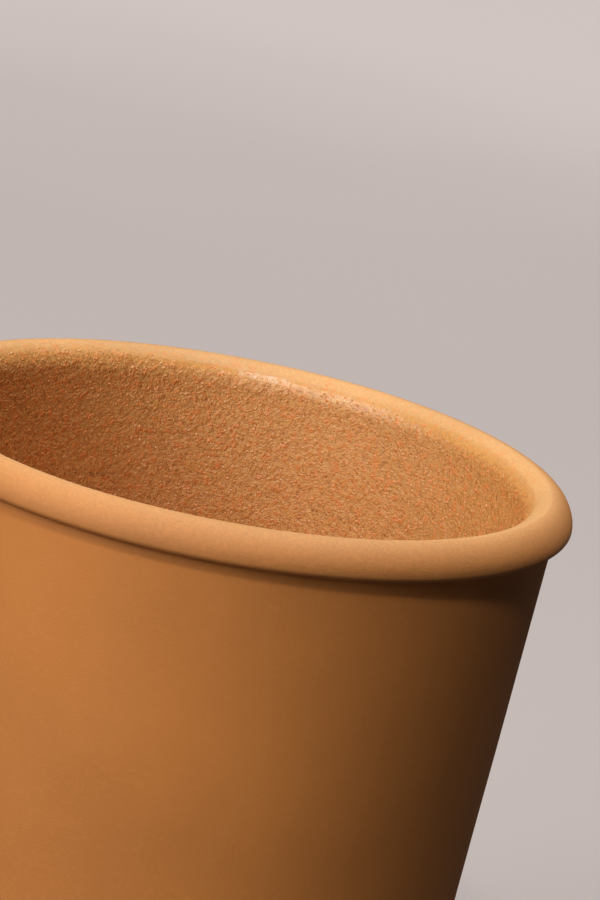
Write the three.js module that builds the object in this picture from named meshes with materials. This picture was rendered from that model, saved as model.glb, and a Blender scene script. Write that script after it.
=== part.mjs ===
// Stemmed tea cup in unglazed stoneware, as a potter builds it: six clay pieces, each made by itself,
// bedded on each other in slip and fired. Millimetres, +Z up, origin at the centre of the resting face.
import * as THREE from "three";

// Bowl
const RIM_RADIUS = 32.5; // over the lip
const LIP_OVERHANG = 1.5; // lip beyond the wall below it
const BEAD_REACH = 2.3; // from the crown of the lip out to the rim
const BEAD_DROP = 2.5; // from the crown of the lip down to its widest line
const BEAD_FULLNESS = 0.48; // roundness of the brow between them: 0 is a flat slope, 0.55 an ellipse
const BEAD_UNDERCUT = 0.8; // from the widest line down to the underside of the lip
const LIP_NECK = 0.3; // upright stretch of the lip coil under its bead
const LIP_EDGE_DROP = 2.6; // from the crown of the lip down to where the inside is upright
const WALL_THICKNESS = 3;
const WALL_HEIGHT = 36;
const WALL_TAPER = 2.8; // degrees from upright
const BASE_HEIGHT = 13;
const FLOOR_THICKNESS = 4;
const SHOULDER_REACH = 13; // outer shoulder, from the wall in to the flat underside
const CORNER_REACH = 11; // inner corner, from the wall in to the flat floor

// Pedestal
const TENON_RADIUS = 5.5;
const TENON_LENGTH = 5;
const STEM_WALL = 3.2;
const STEM_HEIGHT = 22;
const STEM_FLARE = 8.5; // how far the stem spreads from its neck to its foot
const FLARE_HEIGHT = 6; // height at which the spread turns towards the neck
const COIL_REACH = 3.2; // neck coil, out along the underside of the bowl
const COIL_DROP = 4; // neck coil, down along the stem
const COIL_EDGE = 0.4; // thickness of the coil where it is smoothed out
const FOOT_LEDGE = 3.5; // foot ring beyond the stem that stands on it
const FOOT_HEIGHT = 4.4;
const FOOT_ROUNDING = 2; // reach of the half-round rim of the foot
const FOOT_BEVEL = 0.8; // trimmed edge between the resting face and the rim

// Joints
const SLIP_BED = 0.4; // slip between two scored faces
const SOCKET_CLEARANCE = 0.3; // slip round the tenon

// Smoothness
const ROUND_STEPS = 64;
const CURVE_STEPS = 5;

const QUARTER_BEZIER = 0.5523; // handle length of a Bezier that follows a quarter of an ellipse

const clay = new THREE.MeshStandardMaterial({ color: 0xbf7d42, roughness: 0.55, metalness: 0 });
const slip = new THREE.MeshStandardMaterial({ color: 0xa86a36, roughness: 0.7, metalness: 0 });

// Radii that neighbouring pieces share
const taperSlope = Math.tan(THREE.MathUtils.degToRad(WALL_TAPER));
const wallTopOuter = RIM_RADIUS - LIP_OVERHANG;
const wallTopInner = wallTopOuter - WALL_THICKNESS;
const wallFootOuter = wallTopOuter - WALL_HEIGHT * taperSlope;
const wallFootInner = wallTopInner - WALL_HEIGHT * taperSlope;
const undersideRadius = wallFootOuter - SHOULDER_REACH;
const socketRadius = TENON_RADIUS + SOCKET_CLEARANCE;
const neckRadius = socketRadius + STEM_WALL;
const stemFootOuter = neckRadius + STEM_FLARE;
const stemFootInner = stemFootOuter - STEM_WALL;
const footOuter = stemFootOuter + FOOT_LEDGE;

// Seats of the pieces above the table
const footTop = FOOT_HEIGHT;
const stemSeat = footTop + SLIP_BED;
const stemTop = stemSeat + STEM_HEIGHT;
const bowlSeat = stemTop + SLIP_BED;
const baseTop = bowlSeat + BASE_HEIGHT;
const wallSeat = baseTop + SLIP_BED;
const wallTop = wallSeat + WALL_HEIGHT;
const lipSeat = wallTop + SLIP_BED;

/** A solid of revolution: the outline holds radius and height, and the piece's own seat is at height 0. */
function turned(name, outline, material, seat) {
  const geometry = new THREE.LatheGeometry(outline.getPoints(CURVE_STEPS), ROUND_STEPS);
  geometry.rotateX(Math.PI / 2);
  const mesh = new THREE.Mesh(geometry, material);
  mesh.name = name;
  mesh.position.z = seat;
  return mesh;
}

/** A flat bed of slip that fills a joint from one radius to another. */
function slipBed(name, inner, outer, seat) {
  const outline = new THREE.Path()
    .moveTo(inner, 0)
    .lineTo(outer, 0)
    .lineTo(outer, SLIP_BED)
    .lineTo(inner, SLIP_BED)
    .closePath();
  return turned(name, outline, slip, seat);
}

/** Coil that ends the wall: a brow that slopes outwards over its undercut, and a tighter edge inwards. */
function lipCoil() {
  const height = BEAD_DROP + BEAD_UNDERCUT + LIP_NECK;
  const crownRadius = RIM_RADIUS - BEAD_REACH;
  const widest = height - BEAD_DROP;
  const edgeFoot = height - LIP_EDGE_DROP;
  const outline = new THREE.Path()
    .moveTo(wallTopInner, 0)
    .lineTo(wallTopOuter, 0)
    .absellipse(wallTopOuter, widest, LIP_OVERHANG, BEAD_UNDERCUT, -Math.PI / 2, 0)
    .bezierCurveTo(
      RIM_RADIUS, widest + BEAD_FULLNESS * BEAD_DROP,
      crownRadius + BEAD_FULLNESS * BEAD_REACH, height,
      crownRadius, height,
    )
    .absellipse(crownRadius, edgeFoot, crownRadius - wallTopInner, LIP_EDGE_DROP, Math.PI / 2, Math.PI)
    .closePath();
  return turned("lip_coil", outline, clay, lipSeat);
}

/** Slab bent into a tapering tube. */
function bowlWall() {
  const outline = new THREE.Path()
    .moveTo(wallFootInner, 0)
    .lineTo(wallFootOuter, 0)
    .lineTo(wallTopOuter, WALL_HEIGHT)
    .lineTo(wallTopInner, WALL_HEIGHT)
    .closePath();
  return turned("bowl_wall", outline, clay, wallSeat);
}

/** Pressed dish that closes the bowl, with the tenon that goes into the stem. */
function bowlBase() {
  const handle = QUARTER_BEZIER * BASE_HEIGHT;
  const cornerHeight = BASE_HEIGHT - FLOOR_THICKNESS;
  const cornerHandle = QUARTER_BEZIER * cornerHeight;
  const floorRadius = wallFootInner - CORNER_REACH;
  const outline = new THREE.Path()
    .moveTo(0, -TENON_LENGTH)
    .lineTo(TENON_RADIUS, -TENON_LENGTH)
    .lineTo(TENON_RADIUS, 0)
    .lineTo(undersideRadius, 0)
    .bezierCurveTo(
      undersideRadius + QUARTER_BEZIER * SHOULDER_REACH, 0,
      wallFootOuter - handle * taperSlope, BASE_HEIGHT - handle,
      wallFootOuter, BASE_HEIGHT,
    )
    .lineTo(wallFootInner, BASE_HEIGHT)
    .bezierCurveTo(
      wallFootInner - cornerHandle * taperSlope, BASE_HEIGHT - cornerHandle,
      floorRadius + QUARTER_BEZIER * CORNER_REACH, FLOOR_THICKNESS,
      floorRadius, FLOOR_THICKNESS,
    )
    .lineTo(0, FLOOR_THICKNESS);
  return turned("bowl_base", outline, clay, bowlSeat);
}

/** Slip under the bowl, with the sleeve of it that is pressed down round the tenon. */
function stemSlip() {
  const outline = new THREE.Path()
    .moveTo(TENON_RADIUS, SLIP_BED - TENON_LENGTH)
    .lineTo(socketRadius, SLIP_BED - TENON_LENGTH)
    .lineTo(socketRadius, 0)
    .lineTo(neckRadius, 0)
    .lineTo(neckRadius, SLIP_BED)
    .lineTo(TENON_RADIUS, SLIP_BED)
    .closePath();
  return turned("stem_slip", outline, slip, stemTop);
}

/** Thin coil smoothed into the corner between the underside of the bowl and the stem. */
function neckCoil() {
  const outline = new THREE.Path()
    .moveTo(neckRadius, -COIL_DROP)
    .lineTo(neckRadius + COIL_EDGE, -COIL_DROP)
    .quadraticCurveTo(neckRadius + COIL_EDGE, -COIL_EDGE, neckRadius + COIL_REACH, -COIL_EDGE)
    .lineTo(neckRadius + COIL_REACH, 0)
    .lineTo(neckRadius, 0)
    .closePath();
  return turned("neck_coil", outline, clay, bowlSeat);
}

/** Hollow stem that spreads like a trumpet from a straight neck. */
function stem() {
  const neckEnd = STEM_HEIGHT - COIL_DROP; // the neck is straight behind the coil
  const socketEnd = STEM_HEIGHT - TENON_LENGTH;
  const outline = new THREE.Path()
    .moveTo(stemFootInner, 0)
    .lineTo(stemFootOuter, 0)
    .quadraticCurveTo(neckRadius, FLARE_HEIGHT, neckRadius, neckEnd)
    .lineTo(neckRadius, STEM_HEIGHT)
    .lineTo(socketRadius, STEM_HEIGHT)
    .lineTo(socketRadius, socketEnd)
    .quadraticCurveTo(socketRadius, FLARE_HEIGHT, stemFootInner, 0);
  return turned("stem", outline, clay, stemSeat);
}

/** Ring that the cup stands on, with a round rim like the lip's. */
function footRing() {
  const rimCentre = footOuter - FOOT_ROUNDING;
  const halfRim = (FOOT_HEIGHT - FOOT_BEVEL) / 2;
  const outline = new THREE.Path()
    .moveTo(stemFootInner, 0)
    .lineTo(rimCentre - FOOT_BEVEL, 0)
    .lineTo(rimCentre, FOOT_BEVEL)
    .absellipse(rimCentre, FOOT_BEVEL + halfRim, FOOT_ROUNDING, halfRim, -Math.PI / 2, Math.PI / 2)
    .lineTo(stemFootInner, FOOT_HEIGHT)
    .closePath();
  return turned("foot_ring", outline, clay, 0);
}

const pedestal = new THREE.Group();
pedestal.add(footRing(), slipBed("foot_slip", stemFootInner, stemFootOuter, footTop), stem());

const bowl = new THREE.Group();
bowl.add(
  stemSlip(),
  bowlBase(),
  neckCoil(),
  slipBed("wall_slip", wallFootInner, wallFootOuter, baseTop),
  bowlWall(),
  slipBed("lip_slip", wallTopInner, wallTopOuter, wallTop),
  lipCoil(),
);

const cup = new THREE.Group();
cup.add(pedestal, bowl);

export default cup;
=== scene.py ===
"""Looks of a stemmed tea cup in unglazed stoneware.

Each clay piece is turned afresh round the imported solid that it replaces, on the same outline but with a finer
surface: the slow waver of hand work, the coarse grit of the inside, and the rubbed lip and outside.
"""

import logging
import math
from dataclasses import dataclass, field
from enum import Enum

import bpy
import numpy as np
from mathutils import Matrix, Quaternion, Vector


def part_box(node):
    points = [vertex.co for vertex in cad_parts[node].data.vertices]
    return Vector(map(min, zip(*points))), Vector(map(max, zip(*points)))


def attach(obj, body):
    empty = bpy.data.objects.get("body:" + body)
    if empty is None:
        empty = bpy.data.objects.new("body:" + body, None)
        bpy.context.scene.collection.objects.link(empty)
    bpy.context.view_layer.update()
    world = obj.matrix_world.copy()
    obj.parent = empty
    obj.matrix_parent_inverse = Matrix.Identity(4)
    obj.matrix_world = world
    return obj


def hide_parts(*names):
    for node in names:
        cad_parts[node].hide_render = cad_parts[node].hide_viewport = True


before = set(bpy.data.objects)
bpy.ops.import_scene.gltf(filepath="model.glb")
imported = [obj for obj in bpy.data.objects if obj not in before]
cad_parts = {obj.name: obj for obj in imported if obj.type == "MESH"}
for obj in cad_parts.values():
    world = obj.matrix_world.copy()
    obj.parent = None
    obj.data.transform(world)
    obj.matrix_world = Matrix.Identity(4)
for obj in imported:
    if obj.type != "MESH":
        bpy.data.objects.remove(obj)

Point = tuple[float, float]
Ends = tuple[float, float]
Colour = tuple[float, float, float, float]
Socket = bpy.types.NodeSocket
Tree = bpy.types.NodeTree
Material = bpy.types.Material
Mesh = bpy.types.Mesh
Array = np.ndarray

MM = 0.001
NEAR = 0.01 * MM  # a corner this near a height or the axis is on it
TOUCHING = 1e-9  # points this close are one
BODY = "root"
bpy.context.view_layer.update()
LOG = logging.getLogger("tea_cup")


class Skin(Enum):
    """How a stretch of surface was left. The value is the share of coarse grit that shows there."""

    GRITTY = 1.0
    SPONGED = 0.45
    RUBBED = 0.22
    BURNISHED = 0.12
    SEATED = 0.0


class Part(Enum):
    """Slots of the record's materials."""

    GRAINED = "grained_clay"
    BURNISHED = "burnished_clay"
    SLIP = "slip"


def srgb(*levels: int) -> Colour:
    """Scene-linear colour of a display colour.

    Args:
        levels: Display red, green and blue, 0 to 255.

    Returns:
        Linear red, green, blue and alpha.
    """
    shares = [level / 255 for level in levels]
    red, green, blue = (s / 12.92 if s <= 0.04045 else ((s + 0.055) / 1.055) ** 2.4 for s in shares)
    return red, green, blue, 1.0


BACKDROP = srgb(205, 193, 189)
REFLECTED = 0.2  # how strongly reflections show the backdrop


def packed_corners(node: str) -> tuple[Array, Array]:
    """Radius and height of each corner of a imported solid."""
    across, along, heights = np.array([vertex.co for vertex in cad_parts[node].data.vertices]).T
    return np.hypot(across, along), heights


def face_radii(node: str, height: float) -> Point:
    """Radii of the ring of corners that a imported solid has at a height.

    Args:
        node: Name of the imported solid.
        height: Height of its top or bottom face.

    Returns:
        The least and the greatest radius there.
    """
    radii, heights = packed_corners(node)
    level = radii[np.abs(heights - height) < NEAR]
    return float(level.min()), float(level.max())


def axis_top(node: str) -> float:
    """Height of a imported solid's highest corner on the cup's axis."""
    radii, heights = packed_corners(node)
    return float(heights[radii < NEAR].max())


def line(start: Point, end: Point, step: float) -> Array:
    """Points along a straight stretch of an outline, as radius and height, at most a step apart."""
    count = max(1, math.ceil(math.dist(start, end) / step))
    return np.linspace(start, end, count + 1)


def arc(centre: Point, reach: Point, start: float, end: float, step: float) -> Array:
    """Points along a stretch of an ellipse.

    Args:
        centre: Radius and height of its middle.
        reach: Half its width and half its height.
        start: Angle of the first point, in radians.
        end: Angle of the last point, in radians.
        step: About the distance between points.

    Returns:
        An array of radius and height.
    """
    count = max(2, math.ceil(abs(end - start) * max(reach) / step))
    angles = np.linspace(start, end, count + 1)
    return np.stack([centre[0] + reach[0] * np.cos(angles), centre[1] + reach[1] * np.sin(angles)], axis=1)


def bend(knots: list[Point], step: float) -> Array:
    """Points along a Bezier stretch of an outline.

    Args:
        knots: Its start, its one or two handles and its end.
        step: About the distance between points.

    Returns:
        An array of radius and height.
    """
    length = sum(math.dist(a, b) for a, b in zip(knots, knots[1:]))
    shares = np.linspace(0, 1, max(2, math.ceil(length / step)) + 1)[:, None]
    degree = len(knots) - 1
    weights = [math.comb(degree, k) * shares**k * (1 - shares) ** (degree - k) for k in range(degree + 1)]
    return sum(weight * np.array(knot) for weight, knot in zip(weights, knots))


def joined(*runs: Array) -> Array:
    """Runs of points one after another, with the point that two of them share kept once."""
    return np.concatenate([run[:-1] for run in runs[:-1]] + [runs[-1]])


@dataclass(frozen=True)
class Stretch:
    """A stretch of a turned outline, with the clay on its left. An end is given where its skin changes."""

    points: Array
    start: Skin
    end: Skin | None = None

    def grit(self) -> Array:
        """Share of coarse grit at each point."""
        end = self.end or self.start
        return np.linspace(self.start.value, end.value, len(self.points))

    def normals(self) -> Array:
        """Direction out of the clay at each point, or none on a flat face that lies on its neighbour.

        Returns:
            An array of radius and height.
        """
        along = np.gradient(self.points, axis=0)
        outward = np.stack([along[:, 1], -along[:, 0]], axis=1) / np.linalg.norm(along, axis=1)[:, None]
        return outward * (self.start is not Skin.SEATED)


def seat(start: Point, end: Point) -> Stretch:
    """A flat face between two points, which lies on its neighbour or on the table."""
    return Stretch(np.array([start, end]), Skin.SEATED)


class Wiring:
    """Short-hand for filling a node tree."""

    def __init__(self, tree: Tree) -> None:
        """Keeps the tree that nodes are added to."""
        self.tree = tree

    @classmethod
    def for_finish(cls, name: str) -> "Wiring":
        """Wiring for a new material.

        Args:
            name: The material's name.

        Returns:
            The wiring, its tree still empty.
        """
        made = bpy.data.materials.new(name)
        made.use_nodes = True
        made.node_tree.nodes.clear()
        return cls(made.node_tree)

    def end_finish(self, inputs: dict[str, object]) -> Material:
        """Ends a finish in a principled shader.

        Args:
            inputs: Values or sockets for the shader.

        Returns:
            The material whose tree this is.
        """
        shader = self.add("ShaderNodeBsdfPrincipled", {"IOR": 1.5} | inputs)
        self.add("ShaderNodeOutputMaterial", {"Surface": shader.outputs["BSDF"]})
        return next(made for made in bpy.data.materials if made.node_tree == self.tree)

    @classmethod
    def for_geometry(cls, name: str, sizes: dict[str, float]) -> "Wiring":
        """Wiring for a new tree of geometry nodes.

        Args:
            name: The tree's name.
            sizes: Its named inputs, with a value of the right kind for each.

        Returns:
            The wiring, its tree with those inputs and a material to clad the result in.
        """
        made = bpy.data.node_groups.new(name, "GeometryNodeTree")
        kinds = {key: "Int" if isinstance(value, int) else "Float" for key, value in sizes.items()}
        for key, kind in ({"Geometry": "Geometry"} | kinds | {"Material": "Material"}).items():
            made.interface.new_socket(key, in_out="INPUT", socket_type=f"NodeSocket{kind}")
        made.interface.new_socket("Geometry", in_out="OUTPUT", socket_type="NodeSocketGeometry")
        made.nodes.new("NodeGroupInput").name = "given"
        return cls(made)

    def given(self, name: str) -> Socket:
        """One of the inputs of a tree of geometry nodes."""
        return self.tree.nodes["given"].outputs[name]

    def end_geometry(self, result: Socket) -> Tree:
        """Ends a tree of geometry nodes: the result made real and clad in the material.

        Args:
            result: What the nodes made.

        Returns:
            The tree.
        """
        whole = self.add("GeometryNodeRealizeInstances", {"Geometry": result}).outputs[0]
        clad = self.add("GeometryNodeSetMaterial", {"Geometry": whole, "Material": self.given("Material")})
        self.add("NodeGroupOutput", {"Geometry": clad.outputs[0]})
        return self.tree

    def attribute(self, name: str, kind: str = "FLOAT") -> Socket:
        """One of the mesh's own attributes, among geometry nodes."""
        return self.add("GeometryNodeInputNamedAttribute", {"Name": name}, data_type=kind).outputs[0]

    def painted(self, name: str) -> Socket:
        """One of the mesh's own attributes, in a finish."""
        return self.add("ShaderNodeAttribute", attribute_name=name).outputs["Fac"]

    def add(self, kind: str, inputs: dict | None = None, **settings: object) -> bpy.types.Node:
        """Adds a node.

        Args:
            kind: The node's type.
            inputs: Values or sockets for its inputs, by name or place.
            settings: Values for its own properties.

        Returns:
            The node.
        """
        node = self.tree.nodes.new(kind)
        for name, value in settings.items():
            setattr(node, name, value)
        for key, value in (inputs or {}).items():
            if isinstance(value, Socket):
                self.tree.links.new(value, node.inputs[key])
            else:
                node.inputs[key].default_value = value
        return node

    def math(self, operation: str, *values: object, clamp: bool = False) -> Socket:
        """The result of a Math node on numbers or sockets, kept between 0 and 1 where it is clamped."""
        node = self.add("ShaderNodeMath", dict(enumerate(values)), operation=operation, use_clamp=clamp)
        return node.outputs[0]

    def times(self, first: object, second: object, plus: object = None) -> Socket:
        """One number or socket times another, plus a third where it is given."""
        values = (first, second) if plus is None else (first, second, plus)
        return self.math("MULTIPLY" if plus is None else "MULTIPLY_ADD", *values)

    def noise(self, place: Socket, size: float, detail: float) -> Socket:
        """A soft noise, about 0.5 on average, with lumps of a size and finer ones as the detail says."""
        inputs = {"Vector": place, "Scale": 1 / size, "Detail": detail, "Roughness": 0.55}
        return self.add("ShaderNodeTexNoise", inputs).outputs[0]

    def span(self, value: Socket, ends: Ends) -> Socket:
        """A number eased from 0 at the first end to 1 at the second."""
        inputs = {"Value": value, "From Min": ends[0], "From Max": ends[1]}
        return self.add("ShaderNodeMapRange", inputs, interpolation_type="SMOOTHSTEP").outputs["Result"]

    def seen(self) -> Socket:
        """How far a ray shows the background: wholly when looked at, dimly in a reflection.

        Returns:
            The share's socket.
        """
        rays = self.add("ShaderNodeLightPath").outputs
        mirrored = self.math("ADD", rays["Is Glossy Ray"], rays["Is Transmission Ray"])
        return self.math("MULTIPLY_ADD", mirrored, REFLECTED, rays["Is Camera Ray"], clamp=True)

    def mixed(self, share: object, first: object, second: object) -> Socket:
        """A colour between two colours or sockets, by the share of the second."""
        node = self.add("ShaderNodeMix", {0: share, 6: first, 7: second}, data_type="RGBA")
        return node.outputs[2]


@dataclass(frozen=True)
class ClayFinish:
    """Fired stoneware with grit in it, open or rubbed as the clay's own grit attribute says.

    Each pair holds the shares of grit, or the heights of a noise, between which something comes in.
    """

    name: str = "fired_clay"
    burnished: Colour = srgb(212, 131, 59)
    # painted shade: a darker tone on the lip's outer brow, standing in for shade there; it also falls on the
    # foot ring's rubbed rim
    handled: Colour = srgb(198, 125, 60)
    worn: Colour = srgb(222, 166, 104)
    gritty: Colour = srgb(224, 162, 91)
    ember: Colour = srgb(222, 140, 72)
    # painted shade: the colour put into the hollows of the inside's bump, for the shade that the bump itself
    # does not cast
    pit: Colour = srgb(176, 108, 52)
    flashed: float = 0.84
    fleck: float = 0.62 * MM
    peel: float = 0.48 * MM
    dust: float = 0.17 * MM
    speck: float = 0.26 * MM
    cloud: float = 24 * MM
    relief: float = 0.2 * MM
    opens: Ends = (0.62, 1.0)
    rubbing: Ends = (0.55, 0.35)
    lumps: Ends = (0.4, 0.6)
    pits: Ends = (0.62, 0.8)
    specks: Ends = (0.14, 0.22)
    wiping: Ends = (0.52, 0.62)
    wear: Ends = (0.16, 0.26)
    wear_edge: Ends = (0.93, 0.82)
    handling: Ends = (0.13, 0.16)
    grit: Ends = (0.2, 0.45)
    fleck_edge: Ends = (0.52, 0.66)
    peel_hollow: Ends = (0.58, 0.38)
    dust_hollow: Ends = (0.7, 0.3)
    cloud_edge: Ends = (0.3, 0.75)
    open_tooth: float = 0.55
    rubbed_tooth: float = 0.07
    least_tooth: float = 0.05
    open_lump: float = 0.75
    closed_lump: float = 0.2
    fleck_lump: float = 0.25
    fleck_tint: float = 0.75
    least_tint: float = 0.03
    raggedness: float = 0.5
    mottling: float = 0.45
    matt: float = 0.66
    shine: float = 0.48
    grain_matt: float = 0.12

    def material(self) -> Material:
        """The finish as a material.

        Returns:
            The material.
        """
        wiring = Wiring.for_finish(self.name)
        place = wiring.add("ShaderNodeTexCoord").outputs["Object"]
        share = wiring.painted("grit")
        peel = wiring.noise(place, self.peel, 2.0)
        dust = wiring.noise(place, self.dust, 2.0)
        iron = wiring.span(wiring.noise(place, self.fleck, 1.0), self.fleck_edge)
        opened = wiring.span(share, self.opens)
        tooth = wiring.times(wiring.span(share, self.rubbing), self.rubbed_tooth, self.least_tooth)
        tooth = wiring.times(dust, wiring.times(opened, self.open_tooth, tooth))
        lumps = wiring.times(wiring.span(share, self.lumps), self.closed_lump)
        height = wiring.times(peel, wiring.times(opened, self.open_lump, lumps), tooth)
        height = wiring.times(iron, wiring.times(opened, self.fleck_lump), height)
        # Painted shade: where both noises of the bump are low, the gritty inside is darkened towards the pit
        # colour, as shade in its hollows.
        hollow = wiring.times(wiring.span(peel, self.peel_hollow), wiring.span(dust, self.dust_hollow))
        pits = wiring.times(hollow, wiring.span(share, self.pits))
        pit_shaded = wiring.mixed(pits, self.clay(wiring, place, share), self.pit)
        flecks = wiring.times(iron, wiring.times(share, self.fleck_tint, self.least_tint))
        colour = wiring.mixed(flecks, pit_shaded, self.ember)
        bump = wiring.add("ShaderNodeBump", {"Height": height, "Distance": self.relief, "Strength": 1.0})
        wiped = wiring.times(wiring.span(wiring.painted("slope"), self.wiping), -self.shine, self.matt)
        rough = wiring.times(dust, self.grain_matt, wiring.times(opened, self.grain_matt, wiped))
        return wiring.end_finish({"Base Color": colour, "Roughness": rough, "Normal": bump.outputs["Normal"]})

    def clay(self, wiring: Wiring, place: Socket, share: Socket) -> Socket:
        """Clay colour under the painted pit shade and flecks: worn on the lip, with painted shade on its brow,
        cloudy from the fire.

        Args:
            wiring: The material's tree.
            place: Position on the clay.
            share: How gritty the skin is.

        Returns:
            The colour's socket.
        """
        cloud = wiring.span(wiring.noise(place, self.cloud, 3.0), self.cloud_edge)
        ragged = wiring.times(wiring.noise(place, self.peel, 2.0), self.raggedness, share)
        edge = wiring.times(wiring.span(share, self.wear), wiring.span(ragged, self.wear_edge))
        # Painted shade: between the burnished skin and the rubbed crown, the outer brow of the lip is darkened.
        outer = wiring.mixed(wiring.span(share, self.handling), self.burnished, self.handled)
        skin = wiring.mixed(wiring.span(share, self.grit), outer, self.gritty)
        fired = wiring.mixed(edge, skin, self.worn)
        shade = wiring.times(cloud, self.flashed - 1, 1.0)
        speck = wiring.math("SUBTRACT", wiring.noise(place, self.speck, 2.0), 0.5)
        mottled = wiring.times(speck, wiring.times(wiring.span(share, self.specks), self.mottling))
        tint = {"Color": fired, "Value": wiring.math("ADD", shade, mottled)}
        return wiring.add("ShaderNodeHueSaturation", tint).outputs[0]


@dataclass(frozen=True)
class GrogFinish:
    """Burnt grains of crushed pot that stand out of the clay, each with a tone of its own; the smallest get a
    pale painted highlight.
    """

    name: str = "grog"
    dull: Colour = srgb(212, 148, 82)
    burnt: Colour = srgb(224, 142, 74)
    # painted highlight: a paler tone that stands in for glints on the smallest grains
    pale: Colour = srgb(214, 156, 94)
    fleck: float = 0.62 * MM
    dust: float = 0.09 * MM
    relief: float = 0.02 * MM
    fleck_edge: Ends = (0.52, 0.64)
    pale_ranks: Ends = (0.3, 0.1)
    matt: float = 0.24
    grain_matt: float = 0.16

    def material(self) -> Material:
        """The finish as a material.

        Returns:
            The material.
        """
        wiring = Wiring.for_finish(self.name)
        place = wiring.add("ShaderNodeTexCoord").outputs["Object"]
        tone = wiring.painted("tone")
        dust = wiring.noise(place, self.dust, 2.0)
        iron = wiring.span(wiring.noise(place, self.fleck, 1.0), self.fleck_edge)
        # Painted highlight: the lowest-ranked, smallest grains take the pale tone as glints.
        plain = wiring.mixed(wiring.span(tone, self.pale_ranks), self.dull, self.pale)
        colour = wiring.mixed(iron, plain, self.burnt)
        bump = wiring.add("ShaderNodeBump", {"Height": dust, "Distance": self.relief, "Strength": 1.0})
        rough = wiring.times(dust, self.grain_matt, self.matt)
        return wiring.end_finish({"Base Color": colour, "Roughness": rough, "Normal": bump.outputs["Normal"]})


@dataclass(frozen=True)
class FloorFinish:
    """Plain pale floor that runs on into the backdrop. It throws little light back on what stands on it."""

    name: str = "pale_floor"
    near: Colour = srgb(186, 175, 170)
    thrown: Colour = srgb(30, 27, 25)
    patch: float = 0.3
    drift: float = 0.2
    fades: Ends = (0.3, 1.1)
    roughness: float = 0.9

    def material(self) -> Material:
        """The finish as a material.

        Returns:
            The material.
        """
        wiring = Wiring.for_finish(self.name)
        place = wiring.add("ShaderNodeTexCoord").outputs["Object"]
        away = wiring.add("ShaderNodeVectorMath", {0: place}, operation="LENGTH").outputs["Value"]
        swept = wiring.times(wiring.noise(place, self.patch, 2.0), self.drift, away)
        far = wiring.span(swept, self.fades)
        seen = wiring.seen()
        paint = wiring.mixed(far, wiring.mixed(seen, self.thrown, self.near), srgb(0, 0, 0))
        glow = {"Emission Color": BACKDROP, "Emission Strength": wiring.times(far, seen)}
        return wiring.end_finish({"Base Color": paint, "Roughness": self.roughness} | glow)


@dataclass(frozen=True)
class Growth:
    """Geometry nodes, with the sizes and the finish that they are given."""

    tree: Tree
    sizes: dict[str, float]
    finish: Material

    def mesh(self, source: bpy.types.Object) -> Mesh:
        """The plain mesh that the nodes make from an object. The object keeps no modifier.

        Args:
            source: Object that the nodes start from.

        Returns:
            The new mesh.
        """
        inputs = self.sizes | {"Material": self.finish}
        modifier = source.modifiers.new(self.tree.name, "NODES")
        modifier.node_group = self.tree
        for item in self.tree.interface.items_tree:
            if item.in_out == "INPUT" and item.name in inputs:
                modifier[item.identifier] = inputs[item.name]
        depsgraph = bpy.context.evaluated_depsgraph_get()
        made = source.evaluated_get(depsgraph)
        mesh = bpy.data.meshes.new_from_object(made, preserve_all_data_layers=True, depsgraph=depsgraph)
        source.modifiers.remove(modifier)
        return mesh


def shown(name: str, data: bpy.types.ID) -> bpy.types.Object:
    """A new object in the scene, at the origin.

    Args:
        name: Its name, and its data's.
        data: The mesh, lamp or camera that it shows.

    Returns:
        The object.
    """
    data.name = name
    made = bpy.data.objects.new(name, data)
    bpy.context.scene.collection.objects.link(made)
    return made


@dataclass(frozen=True)
class Relief:
    """Real relief of the clay: a slow waver from the hand, and the lumps that grit makes in the inside."""

    waver: float = 0.12 * MM
    waver_length: float = 22 * MM
    lump: float = 0.16 * MM
    lump_length: float = 0.9 * MM

    def growth(self, clay: Material) -> Growth:
        """Geometry nodes that lift a turned mesh along its lift attribute.

        Args:
            clay: The finish of the clay.

        Returns:
            The nodes, with the relief's sizes as named inputs.
        """
        sizes = {key.replace("_", " ").title(): value for key, value in vars(self).items()}
        wiring = Wiring.for_geometry("clay_relief", sizes)
        lift, share = wiring.attribute("lift", "FLOAT_VECTOR"), wiring.attribute("grit")
        rise = wiring.times(self.swell(wiring, "Lump"), share, self.swell(wiring, "Waver"))
        offset = wiring.add("ShaderNodeVectorMath", {0: lift, "Scale": rise}, operation="SCALE").outputs[0]
        moved = wiring.add("GeometryNodeSetPosition", {0: wiring.given("Geometry"), "Offset": offset})
        return Growth(wiring.end_geometry(moved.outputs[0]), sizes, clay)

    def swell(self, wiring: Wiring, name: str) -> Socket:
        """A soft rise and fall over the clay.

        Args:
            wiring: The tree.
            name: Input that holds its height. A second one, with the same name and Length, holds its length.

        Returns:
            The height's socket.
        """
        place = wiring.add("GeometryNodeInputPosition").outputs[0]
        scale = wiring.math("DIVIDE", 1.0, wiring.given(f"{name} Length"))
        soft = wiring.add("ShaderNodeTexNoise", {"Vector": place, "Scale": scale, "Detail": 1.0}).outputs[0]
        return wiring.times(wiring.math("SUBTRACT", soft, 0.5), wiring.given(name))


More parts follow.
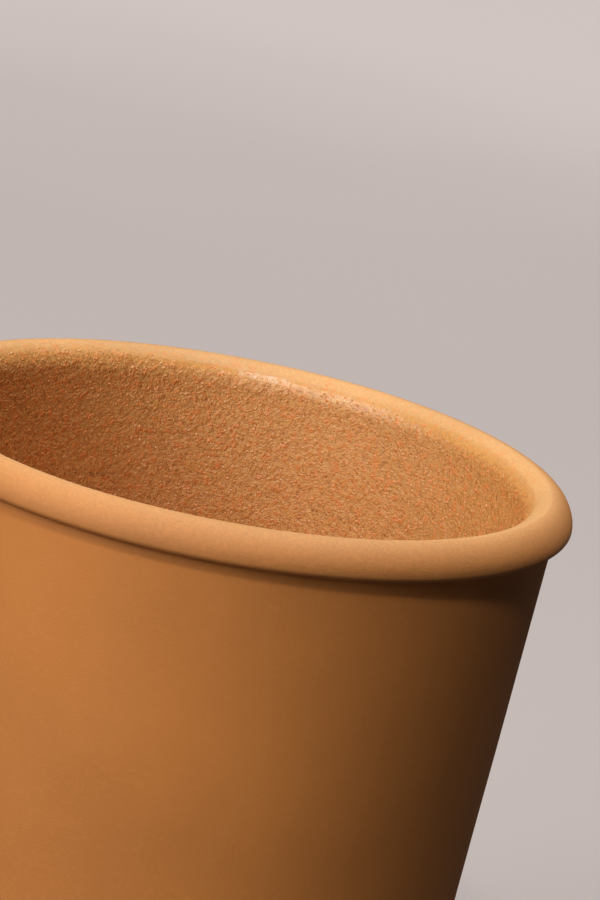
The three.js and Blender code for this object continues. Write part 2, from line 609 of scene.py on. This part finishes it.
@dataclass(frozen=True)
class Grog:
    """Grains of crushed pot, packed where the skin is gritty and drawn out round the cup by the turning."""

    spacing: float = 0.34 * MM
    least: float = 0.07 * MM
    most: float = 0.22 * MM
    longest: float = 1.4
    flatness: float = 0.42
    stray: float = math.radians(90)
    tilt: float = math.radians(12)
    seed: int = 11
    rarity: float = 1.6
    grows: Ends = (0.1, 0.9)
    crowds: Ends = (0.45, 1.0)
    names: tuple[str, ...] = ("base_floor", "base_corner", "lower_wall", "middle_wall", "upper_wall")

    def sizes(self, low: float = 0.0, high: float = 0.0) -> dict[str, float]:
        """Values for the named inputs of the nodes, for grains between two heights."""
        return {
            "Spacing": self.spacing,
            "Least Radius": self.least,
            "Greatest Radius": self.most,
            "Longest": self.longest,
            "Flatness": self.flatness,
            "Stray": self.stray,
            "Tilt": self.tilt,
            "From": low,
            "To": high,
            "Seed": self.seed,
        }

    def pack(self, bowl: "Bowl", clay: Growth) -> None:
        """Packs grains over the inside of the bowl, in five pieces from the floor up.

        Args:
            bowl: The bowl.
            clay: Relief and finish of the clay that they sit on.
        """
        flat = shown("inside", bowl.inside().mesh())
        skin = shown("inside_lifted", clay.mesh(flat))
        tree, finish = self.tree(), GrogFinish().material()
        corner = (bowl.floor + bowl.base_top) / 2
        levels = [bowl.tenon_end, corner, *np.linspace(bowl.base_top, bowl.top + clay.sizes["Waver"], 4)]
        for name, low, high in zip(self.names, levels, levels[1:]):
            grains = shown(f"{name}_grog", Growth(tree, self.sizes(low, high), finish).mesh(skin))
            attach(grains, BODY)
            LOG.info("%s: %d faces", grains.name, len(grains.data.polygons))
        for used in (flat, skin):
            bpy.data.objects.remove(used)

    def tree(self) -> Tree:
        """Geometry nodes that set a low grain at each scattered point between two heights.

        Returns:
            The tree, with its sizes as named inputs.
        """
        wiring = Wiring.for_geometry("packed_grog", self.sizes())
        points = self.points(wiring)
        ball = wiring.add("GeometryNodeMeshUVSphere", {"Segments": 4, "Rings": 2, "Radius": 1.0})
        grain = wiring.add("GeometryNodeSetShadeSmooth", {0: ball.outputs["Mesh"], "Shade Smooth": False})
        rank = self.random(wiring, 1, 0.0, 1.0)
        least = wiring.given("Least Radius")
        growth = wiring.math("SUBTRACT", wiring.given("Greatest Radius"), least)
        drawn = wiring.times(wiring.math("POWER", rank, self.rarity), growth, least)
        radius = wiring.times(drawn, wiring.span(wiring.attribute("grit"), self.grows))
        length = wiring.times(radius, self.random(wiring, 2, 1.0, wiring.given("Longest")))
        size = {0: length, 1: radius, 2: wiring.times(radius, wiring.given("Flatness"))}
        scale = wiring.add("ShaderNodeCombineXYZ", size).outputs[0]
        lie = self.lie(wiring, points.outputs["Rotation"])
        laid = {"Points": points.outputs["Points"], "Instance": grain.outputs[0], "Scale": scale}
        set_in = wiring.add("GeometryNodeInstanceOnPoints", laid | {"Rotation": lie})
        tone = {"Geometry": set_in.outputs[0], "Name": "tone", "Value": rank}
        toned = wiring.add("GeometryNodeStoreNamedAttribute", tone, data_type="FLOAT", domain="INSTANCE")
        return wiring.end_geometry(toned.outputs[0])

    def points(self, wiring: Wiring) -> bpy.types.Node:
        """Points about a spacing apart, fewer where the skin is rubbed.

        Args:
            wiring: The tree.

        Returns:
            The node that scatters them.
        """
        place = wiring.add("GeometryNodeInputPosition").outputs[0]
        height = wiring.add("ShaderNodeSeparateXYZ", {0: place}).outputs[2]
        above = wiring.math("GREATER_THAN", height, wiring.given("From"))
        inputs = {
            "Mesh": wiring.given("Geometry"),
            "Selection": wiring.times(above, wiring.math("LESS_THAN", height, wiring.given("To"))),
            "Seed": wiring.given("Seed"),
        }
        room = wiring.math("POWER", wiring.given("Spacing"), 2.0)
        inputs["Density"] = wiring.math("DIVIDE", wiring.span(wiring.attribute("grit"), self.crowds), room)
        return wiring.add("GeometryNodeDistributePointsOnFaces", inputs, distribute_method="RANDOM")

    def lie(self, wiring: Wiring, upright: Socket) -> Socket:
        """How a grain lies: flat on the clay, its length round the cup, give or take a stray turn.

        Args:
            wiring: The tree.
            upright: The turn that stands a grain on the clay.

        Returns:
            The turn's socket.
        """
        place = wiring.add("GeometryNodeInputPosition").outputs[0]
        around = wiring.add("ShaderNodeVectorMath", {0: (0.0, 0.0, 1.0), 1: place}, operation="CROSS_PRODUCT")
        aim = {"Rotation": upright, "Vector": around.outputs[0]}
        along = wiring.add("FunctionNodeAlignRotationToVector", aim, axis="X", pivot_axis="Z").outputs[0]
        turns = {}
        for axis, name in enumerate(("Tilt", "Tilt", "Stray")):
            most = wiring.given(name)
            turns[axis] = self.random(wiring, 3 + axis, wiring.times(most, -1.0), most)
        both = {0: along, 1: wiring.add("ShaderNodeCombineXYZ", turns).outputs[0]}
        return wiring.add("FunctionNodeRotateRotation", both, rotation_space="LOCAL").outputs[0]

    def random(self, wiring: Wiring, place: int, low: object, high: object) -> Socket:
        """A number that each grain draws for itself, between two values or sockets, one for each place."""
        inputs = {2: low, 3: high, "Seed": wiring.math("ADD", wiring.given("Seed"), float(place))}
        return wiring.add("FunctionNodeRandomValue", inputs, data_type="FLOAT").outputs[1]


@dataclass(frozen=True)
class Wipe:
    """How the inner edge of the lip was wiped: less far down on one side of the cup.

    The ends are cosines of the angle from the middle of that side.
    """

    side: float = math.radians(150)
    ends: Ends = (0.5, 0.9)
    short: float = 0.45

    def shares(self, grits: Array, angles: Array) -> Array:
        """Shares of grit, as the wiping left them.

        Args:
            grits: The share at each point, were the wiping even.
            angles: Where round the cup the points are.

        Returns:
            The share at each point.
        """
        least, most = Skin.RUBBED.value, Skin.GRITTY.value
        opened = np.clip((grits - least) / (most - least), 0.0, 1.0)
        side = np.interp(np.cos(angles - self.side), self.ends, (0.0, 1.0))
        short = self.short * side * side * (3 - 2 * side)
        uneven = least + (most - least) * opened ** (1 - short)
        return np.where((opened > 0.0) & (opened < 1.0), uneven, grits)


@dataclass
class Turned:
    """A clay piece turned from an outline about the cup's axis."""

    node: str
    part: Part
    stretches: list[Stretch]
    sectors: int
    closed: bool = True
    wipe: Wipe | None = None

    def build(self, clay: Growth) -> None:
        """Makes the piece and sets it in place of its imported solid.

        Args:
            clay: Relief and finish of the clay.
        """
        piece = shown(f"{self.node}_clay", self.mesh())
        plain = piece.data
        piece.data = clay.mesh(piece)
        piece.data.name = piece.name
        bpy.data.meshes.remove(plain)
        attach(piece, BODY)
        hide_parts(self.node)
        LOG.info("%s: %d faces", piece.name, len(piece.data.polygons))

    def rings(self) -> tuple[Array, Array, Array, Array]:
        """The outline as rings of points, with points that touch taken as one.

        Returns:
            Radius and height, the way out of the clay, the share of grit, and whether the ring is an edge.
        """
        places = np.concatenate([stretch.points for stretch in self.stretches])
        apart = np.linalg.norm(np.diff(places, axis=0), axis=1) >= TOUCHING
        ring = np.concatenate([[0], np.cumsum(apart)])
        if self.closed and math.dist(places[-1], places[0]) < TOUCHING:
            ring[ring == ring[-1]] = 0
        counts = np.bincount(ring)
        ways, grits = np.zeros((len(counts), 2)), np.zeros(len(counts))
        np.add.at(ways, ring, np.concatenate([stretch.normals() for stretch in self.stretches]))
        np.maximum.at(grits, ring, np.concatenate([stretch.grit() for stretch in self.stretches]))
        lengths = np.maximum(np.linalg.norm(ways, axis=1), TOUCHING)[:, None]
        return places[np.unique(ring, return_index=True)[1]], ways / lengths, grits, counts > 1

    def mesh(self) -> Mesh:
        """The outline turned about the axis, closed at the poles, with sharp rings where two stretches meet.

        Returns:
            The mesh, with its lift, its grit and the wiping's own slope as attributes.
        """
        places, outward, grits, edges = self.rings()
        poles = places[:, 0] < TOUCHING
        counts = np.where(poles, 1, self.sectors)
        firsts = np.cumsum(counts) - counts
        ring = np.repeat(np.arange(len(counts)), counts)
        angles = (np.arange(len(ring)) - firsts[ring]) * (math.tau / self.sectors)
        across = np.stack([np.cos(angles), np.sin(angles)], axis=1) * ~poles[ring, None]
        corners = np.hstack([across * places[ring, :1], places[ring, 1:]])
        mesh = bpy.data.meshes.new(self.node)
        mesh.from_pydata(corners.tolist(), [], self.faces(firsts, poles), shade_flat=False)
        ends = np.zeros(len(mesh.edges) * 2, np.int32)
        mesh.edges.foreach_get("vertices", ends)
        start, end = ring[ends.reshape(-1, 2)].T
        sharp = (start == end) & edges[start]
        mesh.attributes.new("sharp_edge", "BOOLEAN", "EDGE").data.foreach_set("value", sharp)
        lifts = np.hstack([across * outward[ring, :1], outward[ring, 1:]])
        mesh.attributes.new("lift", "FLOAT_VECTOR", "POINT").data.foreach_set("vector", lifts.ravel())
        slopes = grits[ring]
        shares = self.wipe.shares(slopes, angles) if self.wipe else slopes
        for name, values in (("grit", shares), ("slope", slopes)):
            mesh.attributes.new(name, "FLOAT", "POINT").data.foreach_set("value", values)
        return mesh

    def faces(self, firsts: Array, poles: Array) -> list[tuple[int, ...]]:
        """Faces between each ring and the next.

        Args:
            firsts: First corner of each ring.
            poles: Whether a ring is one corner on the axis.

        Returns:
            The corners of each face, in order seen from outside.
        """
        rings = [first + np.arange(self.sectors) * (not pole) for first, pole in zip(firsts, poles)]
        open_ended = not self.closed or (poles[0] and poles[-1])
        faces: list[tuple[int, ...]] = []
        for low, high in zip(rings, rings[1:] if open_ended else rings[1:] + rings[:1]):
            sides = np.stack([low, np.roll(low, -1), np.roll(high, -1), high], axis=1).tolist()
            faces += [tuple(dict.fromkeys(side)) for side in sides]
        return faces


def slip_bed(node: str, radii: Point, inside: Skin, steps: Ends, sectors: int) -> Turned:
    """Bed of slip between two pieces, worked over so that it runs on from both.

    Args:
        node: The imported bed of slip.
        radii: Inner and outer radius of the clay there.
        inside: How its inside was left.
        steps: Distance between points up its outside and down its inside.
        sectors: Points round it.

    Returns:
        The bed.
    """
    low, high = (corner.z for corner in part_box(node))
    inner, outer = radii
    stretches = [
        seat((inner, low), (outer, low)),
        Stretch(line((outer, low), (outer, high), steps[0]), Skin.BURNISHED),
        seat((outer, high), (inner, high)),
        Stretch(line((inner, high), (inner, low), steps[1]), inside),
    ]
    return Turned(node, Part.SLIP, stretches, sectors)


@dataclass
class Bowl:
    """The bowl: lip, wall and base, and the slip in their joints."""

    bead_reach: float = 2.3 * MM
    bead_drop: float = 2.5 * MM
    bead_fullness: float = 0.48
    bead_undercut: float = 0.8 * MM
    edge_drop: float = 2.6 * MM
    crease: float = 0.25 * MM
    crease_turn: float = math.radians(22)
    shoulder_reach: float = 13 * MM
    corner_reach: float = 11 * MM
    quarter: float = 0.5523
    wipe: Wipe = Wipe()
    sectors: int = 576
    fine_step: float = 0.3 * MM
    plain_step: float = 1.2 * MM
    lip_step: float = 0.12 * MM
    floor_step: float = 0.5 * MM
    shoulder_step: float = 0.6 * MM
    hidden_step: float = 1 * MM
    rim: float = field(init=False)
    top: float = field(init=False)
    lip_seat: float = field(init=False)
    wall_top: float = field(init=False)
    wall_seat: float = field(init=False)
    base_top: float = field(init=False)
    underside: float = field(init=False)
    tenon_end: float = field(init=False)
    floor: float = field(init=False)
    tenon: float = field(init=False)
    top_radii: Point = field(init=False)
    foot_radii: Point = field(init=False)
    slope: float = field(init=False)

    def __post_init__(self) -> None:
        """Reads the bowl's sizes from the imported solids."""
        low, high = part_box("lip_coil")
        self.rim, self.top, self.lip_seat = high.x, high.z, low.z
        low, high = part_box("bowl_wall")
        self.wall_top, self.wall_seat = high.z, low.z
        low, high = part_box("bowl_base")
        self.base_top, self.tenon_end = high.z, low.z
        self.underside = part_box("stem_slip")[1].z
        self.floor = axis_top("bowl_base")
        self.tenon = face_radii("bowl_base", self.tenon_end)[1]
        self.top_radii = face_radii("bowl_wall", self.wall_top)
        self.foot_radii = face_radii("bowl_wall", self.wall_seat)
        self.slope = (self.top_radii[1] - self.foot_radii[1]) / (self.wall_top - self.wall_seat)

    def sweep(self, edge: float, reach: float, level: float, step: float) -> Array:
        """Round corner of the base, from a flat face up to the foot of the wall.

        Args:
            edge: Radius at the foot of the wall.
            reach: How far in from there the flat face ends.
            level: Height of the flat face.
            step: About the distance between points.

        Returns:
            An array of radius and height.
        """
        flat, pull = edge - reach, self.quarter * (self.base_top - level)
        handles = [(flat + self.quarter * reach, level), (edge - pull * self.slope, self.base_top - pull)]
        return bend([(flat, level), *handles, (edge, self.base_top)], step)

    def lip_face(self) -> Stretch:
        """Inner edge of the lip, from its crown down to its seat.

        Returns:
            The stretch.
        """
        inner, crown, edge_foot = self.top_radii[0], self.rim - self.bead_reach, self.top - self.edge_drop
        edge = arc((crown, edge_foot), (crown - inner, self.edge_drop), math.pi / 2, math.pi, self.lip_step)
        below = line((inner, edge_foot), (inner, self.lip_seat), self.fine_step)
        return Stretch(joined(edge, below), Skin.RUBBED, Skin.GRITTY)

    def wall_face(self) -> Stretch:
        """Inside of the wall, from its top down."""
        top, foot = (self.top_radii[0], self.wall_top), (self.foot_radii[0], self.wall_seat)
        return Stretch(line(top, foot, self.fine_step), Skin.GRITTY)

    def base_face(self) -> Stretch:
        """Inside of the base: its round corner, then its floor to the axis.

        Returns:
            The stretch.
        """
        inner = self.foot_radii[0]
        corner = self.sweep(inner, self.corner_reach, self.floor, self.fine_step)[::-1]
        floor = line((inner - self.corner_reach, self.floor), (0.0, self.floor), self.floor_step)
        return Stretch(joined(corner, floor), Skin.GRITTY)

    def inside(self) -> Turned:
        """The whole inside as one open skin, from the lip's crown to the axis.

        Returns:
            The skin, which is no piece by itself.
        """
        lip, wall, base = self.lip_face(), self.wall_face(), self.base_face()
        gaps = [np.array([upper.points[-1], lower.points[0]]) for upper, lower in ((lip, wall), (wall, base))]
        stretches = [lip, Stretch(gaps[0], Skin.GRITTY), wall, Stretch(gaps[1], Skin.GRITTY), base]
        return Turned("inside", Part.GRAINED, stretches, self.sectors, closed=False, wipe=self.wipe)

    def lip(self) -> Turned:
        """Coil that ends the wall, rubbed smooth with a wet leather.

        Returns:
            The piece.
        """
        inner, outer = self.top_radii
        crown = self.rim - self.bead_reach
        widest = self.top - self.bead_drop
        reach = (self.rim - outer, self.bead_undercut)
        under = arc((outer, widest), reach, self.crease_turn - math.pi / 2, 0.0, self.lip_step)
        upright = (self.rim, widest + self.bead_fullness * self.bead_drop)
        level = (crown + self.bead_fullness * self.bead_reach, self.top)
        brow = bend([(self.rim, widest), upright, level, (crown, self.top)], self.lip_step)
        corner = (outer, widest - self.bead_undercut)
        neck = (outer, corner[1] - self.crease)
        below = line((outer, self.lip_seat), neck, self.lip_step)
        crease = bend([neck, corner, tuple(under[0])], self.lip_step)
        stretches = [
            seat((inner, self.lip_seat), (outer, self.lip_seat)),
            Stretch(joined(below, crease, under, brow), Skin.BURNISHED, Skin.RUBBED),
            self.lip_face(),
        ]
        return Turned("lip_coil", Part.BURNISHED, stretches, self.sectors, wipe=self.wipe)

    def wall(self) -> Turned:
        """Slab bent into a tapering tube, gritty inside.

        Returns:
            The piece.
        """
        (low_in, low_out), (high_in, high_out) = self.foot_radii, self.top_radii
        low, high = self.wall_seat, self.wall_top
        stretches = [
            seat((low_in, low), (low_out, low)),
            Stretch(line((low_out, low), (high_out, high), self.plain_step), Skin.BURNISHED),
            seat((high_out, high), (high_in, high)),
            self.wall_face(),
        ]
        return Turned("bowl_wall", Part.GRAINED, stretches, self.sectors)

    def base(self) -> Turned:
        """Pressed dish with a rounded shoulder, and the tenon under it.

        Returns:
            The piece.
        """
        inner, outer = self.foot_radii
        shoulder = self.sweep(outer, self.shoulder_reach, self.underside, self.shoulder_step)
        flat = line((self.tenon, self.underside), tuple(shoulder[0]), self.hidden_step)
        tip = line((0.0, self.tenon_end), (self.tenon, self.tenon_end), self.hidden_step)
        stretches = [
            Stretch(tip, Skin.RUBBED),
            seat((self.tenon, self.tenon_end), (self.tenon, self.underside)),
            Stretch(joined(flat, shoulder), Skin.BURNISHED),
            seat((outer, self.base_top), (inner, self.base_top)),
            self.base_face(),
        ]
        return Turned("bowl_base", Part.GRAINED, stretches, self.sectors)

    def joint(self, node: str, radii: Point) -> Turned:
        """Bed of slip between two pieces of the bowl, gritty inside."""
        return slip_bed(node, radii, Skin.GRITTY, (self.plain_step, self.fine_step), self.sectors)

    def pieces(self) -> list[Turned]:
        """The bowl's pieces, from the lip down."""
        return [
            self.lip(),
            self.joint("lip_slip", self.top_radii),
            self.wall(),
            self.joint("wall_slip", self.foot_radii),
            self.base(),
        ]


@dataclass
class Pedestal:
    """The hollow stem, the coil round its neck, its foot ring and the slip in their joints."""

    flare_height: float = 6 * MM
    coil_edge: float = 0.4 * MM
    foot_rounding: float = 2 * MM
    foot_bevel: float = 0.8 * MM
    sectors: int = 320
    step: float = 0.5 * MM
    rim_step: float = 0.2 * MM
    stem_seat: float = field(init=False)
    stem_top: float = field(init=False)
    bowl_seat: float = field(init=False)
    tenon_end: float = field(init=False)
    tenon: float = field(init=False)
    socket: float = field(init=False)
    neck: float = field(init=False)
    coil_reach: float = field(init=False)
    coil_foot: float = field(init=False)
    spread: Point = field(init=False)
    foot: float = field(init=False)
    foot_top: float = field(init=False)

    def __post_init__(self) -> None:
        """Reads the pedestal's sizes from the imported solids."""
        low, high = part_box("stem")
        self.stem_seat, self.stem_top = low.z, high.z
        self.spread = face_radii("stem", self.stem_seat)
        self.socket, self.neck = face_radii("stem", self.stem_top)
        low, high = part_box("stem_slip")
        self.bowl_seat, self.tenon_end = high.z, low.z
        self.tenon = face_radii("stem_slip", self.tenon_end)[0]
        low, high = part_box("neck_coil")
        self.coil_reach, self.coil_foot = high.x, low.z
        self.foot, _, self.foot_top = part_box("foot_ring")[1]

    def stem(self) -> Turned:
        """Trumpet-shaped stem, open below.

        Returns:
            The piece.
        """
        inner, outer = self.spread
        turn = self.stem_seat + self.flare_height
        neck_end = self.stem_top - (self.bowl_seat - self.coil_foot)
        socket_end = self.stem_top - (self.bowl_seat - self.tenon_end)
        flare = bend([(outer, self.stem_seat), (self.neck, turn), (self.neck, neck_end)], self.step)
        neck = line((self.neck, neck_end), (self.neck, self.stem_top), self.step)
        socket = line((self.socket, self.stem_top), (self.socket, socket_end), self.step)
        hollow = bend([(self.socket, socket_end), (self.socket, turn), (inner, self.stem_seat)], self.step)
        stretches = [
            seat((inner, self.stem_seat), (outer, self.stem_seat)),
            Stretch(joined(flare, neck), Skin.BURNISHED),
            seat((self.neck, self.stem_top), (self.socket, self.stem_top)),
            Stretch(joined(socket, hollow), Skin.SPONGED),
        ]
        return Turned("stem", Part.BURNISHED, stretches, self.sectors)

    def stem_slip(self) -> Turned:
        """Slip under the bowl, with the sleeve of it round the tenon.

        Returns:
            The piece.
        """
        corners = [
            (self.tenon, self.tenon_end),
            (self.socket, self.tenon_end),
            (self.socket, self.stem_top),
            (self.neck, self.stem_top),
            (self.neck, self.bowl_seat),
            (self.tenon, self.bowl_seat),
        ]
        stretches = [seat(start, end) for start, end in zip(corners, corners[1:] + corners[:1])]
        return Turned("stem_slip", Part.SLIP, stretches, self.sectors)

    def neck_coil(self) -> Turned:
        """Coil smoothed into the corner between the bowl and the stem.

        Returns:
            The piece.
        """
        foot = (self.neck + self.coil_edge, self.coil_foot)
        under = (self.coil_reach, self.bowl_seat - self.coil_edge)
        ledge = line((self.neck, self.coil_foot), foot, self.step)
        hollow = bend([foot, (foot[0], under[1]), under], self.step)
        edge = line(under, (self.coil_reach, self.bowl_seat), self.step)
        stretches = [
            Stretch(joined(ledge, hollow, edge), Skin.BURNISHED),
            seat((self.coil_reach, self.bowl_seat), (self.neck, self.bowl_seat)),
            seat((self.neck, self.bowl_seat), (self.neck, self.coil_foot)),
        ]
        return Turned("neck_coil", Part.BURNISHED, stretches, self.sectors)

    def foot_ring(self) -> Turned:
        """Ring that the cup stands on, its resting face left flat.

        Returns:
            The piece.
        """
        inner, outer = self.spread
        rim = self.foot - self.foot_rounding
        rest = rim - self.foot_bevel
        half = (self.foot_top - self.foot_bevel) / 2
        middle, reach = (rim, self.foot_bevel + half), (self.foot_rounding, half)
        bevel = line((rest, 0.0), (rim, self.foot_bevel), self.rim_step)
        round_rim = arc(middle, reach, -math.pi / 2, math.pi / 2, self.rim_step)
        ledge = line((rim, self.foot_top), (outer, self.foot_top), self.step)
        stretches = [
            seat((inner, 0.0), (rest, 0.0)),
            Stretch(bevel, Skin.RUBBED),
            Stretch(joined(round_rim, ledge), Skin.RUBBED, Skin.BURNISHED),
            seat((outer, self.foot_top), (inner, self.foot_top)),
            Stretch(line((inner, self.foot_top), (inner, 0.0), self.step), Skin.SPONGED),
        ]
        return Turned("foot_ring", Part.BURNISHED, stretches, self.sectors)

    def pieces(self) -> list[Turned]:
        """The pedestal's pieces, from the bowl down."""
        bed = slip_bed("foot_slip", self.spread, Skin.SPONGED, (self.step, self.step), self.sectors)
        return [self.stem_slip(), self.neck_coil(), self.stem(), bed, self.foot_ring()]


@dataclass(frozen=True)
class Lamp:
    """Soft lamp that faces the rim. Its side is the angle to the right of the camera."""

    name: str
    side: float
    rise: float
    distance: float
    width: float
    height: float
    power: float

    def hang(self, rim_height: float) -> None:
        """Hangs the lamp.

        Args:
            rim_height: Height of the rim that it faces.
        """
        light = bpy.data.lights.new(self.name, "AREA")
        light.shape = "RECTANGLE"
        light.size, light.size_y = self.width, self.height
        light.energy = self.power
        side, rise = math.radians(self.side), math.radians(self.rise)
        way = Vector((math.sin(side) * math.cos(rise), -math.cos(side) * math.cos(rise), math.sin(rise)))
        made = shown(self.name, light)
        made.location = Vector((0, 0, rim_height)) + way * self.distance
        made.rotation_euler = (-way).to_track_quat("-Z", "Y").to_euler()


@dataclass
class Studio:
    """Floor, lamps and the camera at the photograph's place."""

    rim_height: float
    camera_back: float = 278.65 * MM
    camera_rise: float = 72.8 * MM
    aim_right: float = 6.14 * MM
    aim_rise: float = -0.53 * MM
    roll: float = math.radians(11.15)
    lens: float = 123.1
    sight: Ends = (0.01, 20.0)
    floor_radius: float = 4.0
    floor_sides: int = 96
    lamps: tuple[Lamp, ...] = (
        Lamp("key", side=-47, rise=25, distance=1.6, width=1.1, height=1.1, power=21),
        Lamp("top", side=160, rise=80, distance=1.5, width=0.6, height=0.6, power=18.5),
        Lamp("front", side=-10, rise=46, distance=1.6, width=0.15, height=0.15, power=6.4),
    )
    ambient: float = 0.006

    def build(self) -> None:
        """Makes the floor, the lamps, the world and the camera."""
        self.floor()
        for lamp in self.lamps:
            lamp.hang(self.rim_height)
        self.world()
        self.camera()
        bpy.context.scene.view_settings.view_transform = "Standard"

    def floor(self) -> None:
        """Lays the pale floor under the foot."""
        turns = np.linspace(0, math.tau, self.floor_sides, endpoint=False)
        rim = self.floor_radius * np.stack([np.cos(turns), np.sin(turns), np.zeros(len(turns))], axis=1)
        mesh = bpy.data.meshes.new("floor")
        mesh.from_pydata(rim.tolist(), [], [tuple(range(self.floor_sides))])
        mesh.materials.append(FloorFinish().material())
        shown("floor", mesh)

    def world(self) -> None:
        """Sets a low, even light from all round, and the pale backdrop that the eye sees."""
        world = bpy.data.worlds.new("studio")
        world.use_nodes = True
        wiring = Wiring(world.node_tree)
        background = world.node_tree.nodes["Background"].inputs
        background["Color"].default_value = BACKDROP
        strength = wiring.times(wiring.seen(), 1 - self.ambient, self.ambient)
        wiring.tree.links.new(strength, background["Strength"])
        bpy.context.scene.world = world

    def camera(self) -> None:
        """Sets the camera at the photograph's place, with its roll."""
        lens = bpy.data.cameras.new("camera")
        lens.lens = self.lens
        lens.clip_start, lens.clip_end = self.sight
        made = shown("camera", lens)
        made.location = (0.0, -self.camera_back, self.rim_height + self.camera_rise)
        aim = Vector((self.aim_right, 0.0, self.rim_height + self.aim_rise)) - made.location
        made.rotation_mode = "QUATERNION"
        made.rotation_quaternion = aim.to_track_quat("-Z", "Y") @ Quaternion((0, 0, 1), self.roll)
        bpy.context.scene.camera = made


def main() -> None:
    """Builds the cup piece by piece, then the studio round it."""
    logging.basicConfig(level=logging.INFO, format="%(message)s")
    bowl, pedestal = Bowl(), Pedestal()
    clay = Relief().growth(ClayFinish().material())
    for turned in bowl.pieces() + pedestal.pieces():
        turned.build(clay)
    Grog().pack(bowl, clay)
    Studio(rim_height=bowl.top).build()


if __name__ == "__main__":
    main()
